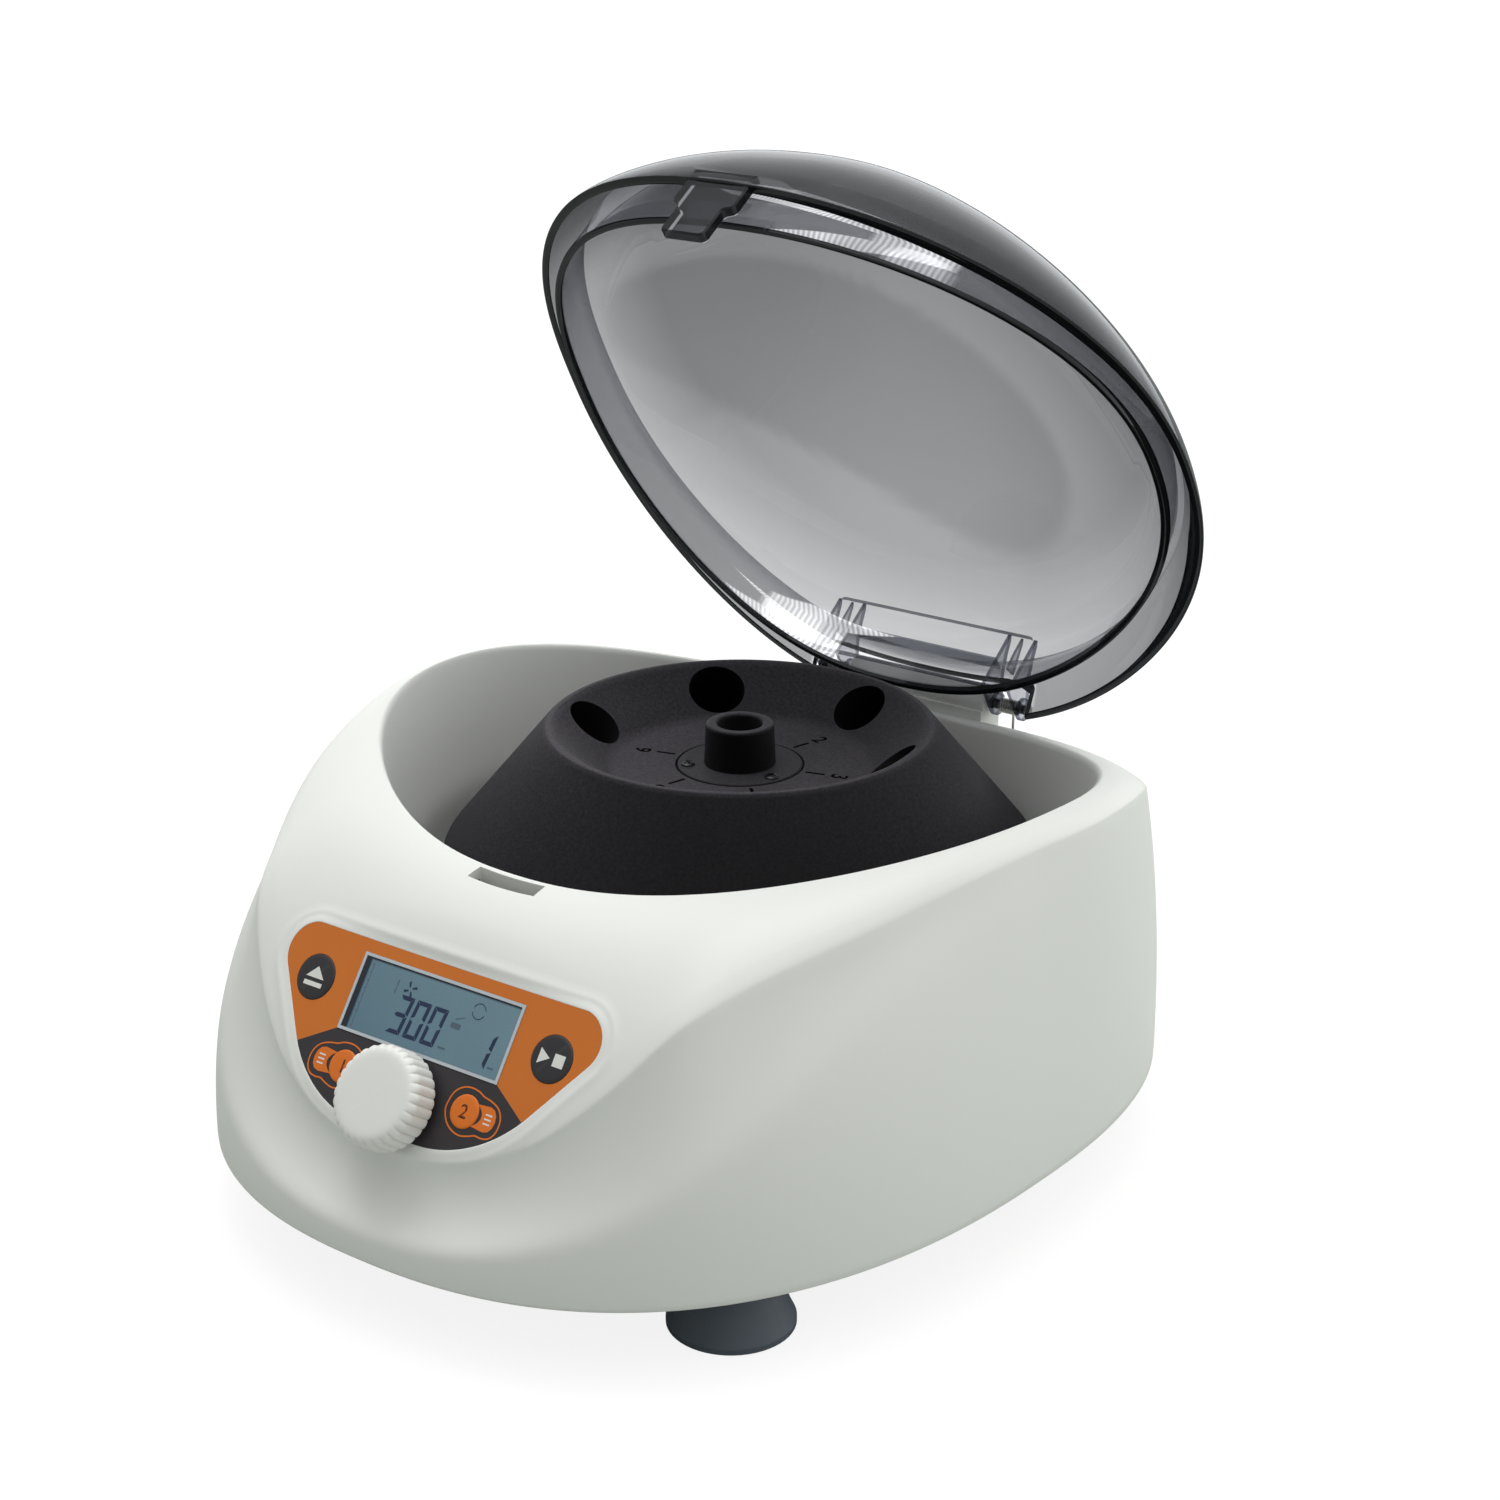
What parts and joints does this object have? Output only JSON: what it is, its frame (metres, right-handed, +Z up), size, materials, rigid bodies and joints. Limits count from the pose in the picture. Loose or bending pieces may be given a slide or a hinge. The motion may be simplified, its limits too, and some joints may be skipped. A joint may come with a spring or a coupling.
{
  "type": "laboratory centrifuge",
  "caption": "Compact bench-top centrifuge with a hinged clear lid, fixed-angle tube rotor, sloping control panel with display, keys and knob, and suction feet.",
  "frame": {"origin": "on the rotor axis, in the plane of the base tray's flat underside", "axes": "+Z up along the rotor axis; -Y towards the control panel; +X to the right of a person facing the panel"},
  "size_m": [0.2508, 0.2852, 0.2846],
  "materials": {
    "casing_white": "white moulded ABS with a fine spark-eroded texture",
    "foot_rubber": "dark blue-grey moulded rubber",
    "steel": "turned and plated steel",
    "black_plastic": "black moulded plastic",
    "brass": "plated contact blades",
    "rocker_red": "glossy red rocker",
    "label_orange": "satin polyester label, orange with a dark lower field",
    "lcd_frame": "pale silver display frame",
    "lcd_glass": "blue-grey reflective segment display",
    "circuit_board": "green solder mask",
    "key_black": "satin black key",
    "key_orange": "satin orange key",
    "knob_white": "white moulded plastic, satin",
    "spring_steel": "spring wire",
    "smoke_clear": "smoke-tinted clear polycarbonate, polished",
    "rotor_black": "black fine-textured rotor",
    "hub_black": "satin black hub",
    "black_steel": "black-oxide cross-head screws",
    "magnet": "sintered magnet ring",
    "motor_metal": "pressed and die-cast motor casing",
    "copper": "enamelled copper coils on a laminated core",
    "black_rubber": "black rubber",
    "components": "transformer, capacitors and heat sink",
    "wire_jacket": "insulated wire"
  },
  "bodies": {
    "base": {"upper_housing": "casing_white", "base_tray": "casing_white", "suction_feet": "foot_rubber", "foot_screws": "steel", "tray_screws": "steel", "rear_panel": "casing_white", "power_inlet": "black_plastic", "inlet_pins": "brass", "switch_body": "black_plastic", "control_carrier": "casing_white", "panel_label": "label_orange", "lcd_frame": "lcd_frame", "lcd_glass": "lcd_glass", "control_board": "circuit_board", "key_switches": "black_plastic", "board_screws": "steel", "encoder_body": "steel", "hinge_block": "casing_white", "hinge_screws": "steel", "hinge_pin": "steel", "torsion_springs": "spring_steel", "solenoid_body": "black_plastic", "bolt_spring": "spring_steel", "lid_sensor": "circuit_board", "bearing_lower": "steel", "bearing_upper": "steel", "motor_can": "motor_metal", "motor_cover": "motor_metal", "motor_windings": "copper", "motor_plate": "motor_metal", "dampers": "black_rubber", "damper_screws": "steel", "spindle_boot": "black_rubber", "speed_sensor": "circuit_board", "power_board": "circuit_board", "board_parts": "components", "wiring_harness": "wire_jacket"},
    "lid": {"lid": "smoke_clear", "latch_tab": "smoke_clear", "hinge_bracket": "smoke_clear"},
    "rotor": {"rotor_body": "rotor_black", "rotor_hub": "hub_black", "hub_screws": "black_steel", "rotor_nut": "steel", "motor_shaft": "steel", "motor_magnet": "magnet"},
    "rocker": {"power_rocker": "rocker_red"},
    "open_key": {"open_key": "key_black"},
    "start_key": {"start_key": "key_black"},
    "program_key_1": {"program_key_1": "key_orange"},
    "program_key_2": {"program_key_2": "key_orange"},
    "encoder_plunger": {"encoder_plunger": "knob_white"},
    "knob": {"knob": "knob_white", "encoder_shaft": "steel"},
    "latch_bolt": {"latch_bolt": "steel"}
  },
  "joints": [
    {"name": "lid_hinge", "type": "hinge", "parent": "base", "child": "lid", "pos_m": [0, 0.1011, 0.085], "axis": [-1, 0, 0], "range_deg": [-56.8, 3.2]},
    {"name": "rotor_spin", "type": "hinge", "parent": "base", "child": "rotor", "pos_m": [0, 0, 0.05], "axis": [0, 0, 1], "continuous": true},
    {"name": "knob_push", "type": "slide", "parent": "base", "child": "encoder_plunger", "axis": [0, 0.81, -0.5864], "range_m": [0, 0.0005]},
    {"name": "knob_turn", "type": "hinge", "parent": "encoder_plunger", "child": "knob", "pos_m": [0, -0.15283, 0.04158], "axis": [0, -0.81, 0.5864], "continuous": true},
    {"name": "power_rocker_tilt", "type": "hinge", "parent": "base", "child": "rocker", "pos_m": [0.0216, 0.0984, 0.0181], "axis": [1, 0, 0], "range_deg": [0, 14]},
    {"name": "bolt_slide", "type": "slide", "parent": "base", "child": "latch_bolt", "axis": [0, 1, 0], "range_m": [0, 0.003], "deforming": ["bolt_spring"]},
    {"name": "open_key_press", "type": "slide", "parent": "base", "child": "open_key", "axis": [0, 0.81, -0.5864], "range_m": [0, 0.00035]},
    {"name": "start_key_press", "type": "slide", "parent": "base", "child": "start_key", "axis": [0, 0.81, -0.5864], "range_m": [0, 0.00035]},
    {"name": "program_key_1_press", "type": "slide", "parent": "base", "child": "program_key_1", "axis": [0, 0.81, -0.5864], "range_m": [0, 0.00035]},
    {"name": "program_key_2_press", "type": "slide", "parent": "base", "child": "program_key_2", "axis": [0, 0.81, -0.5864], "range_m": [0, 0.00035]}
  ]
}
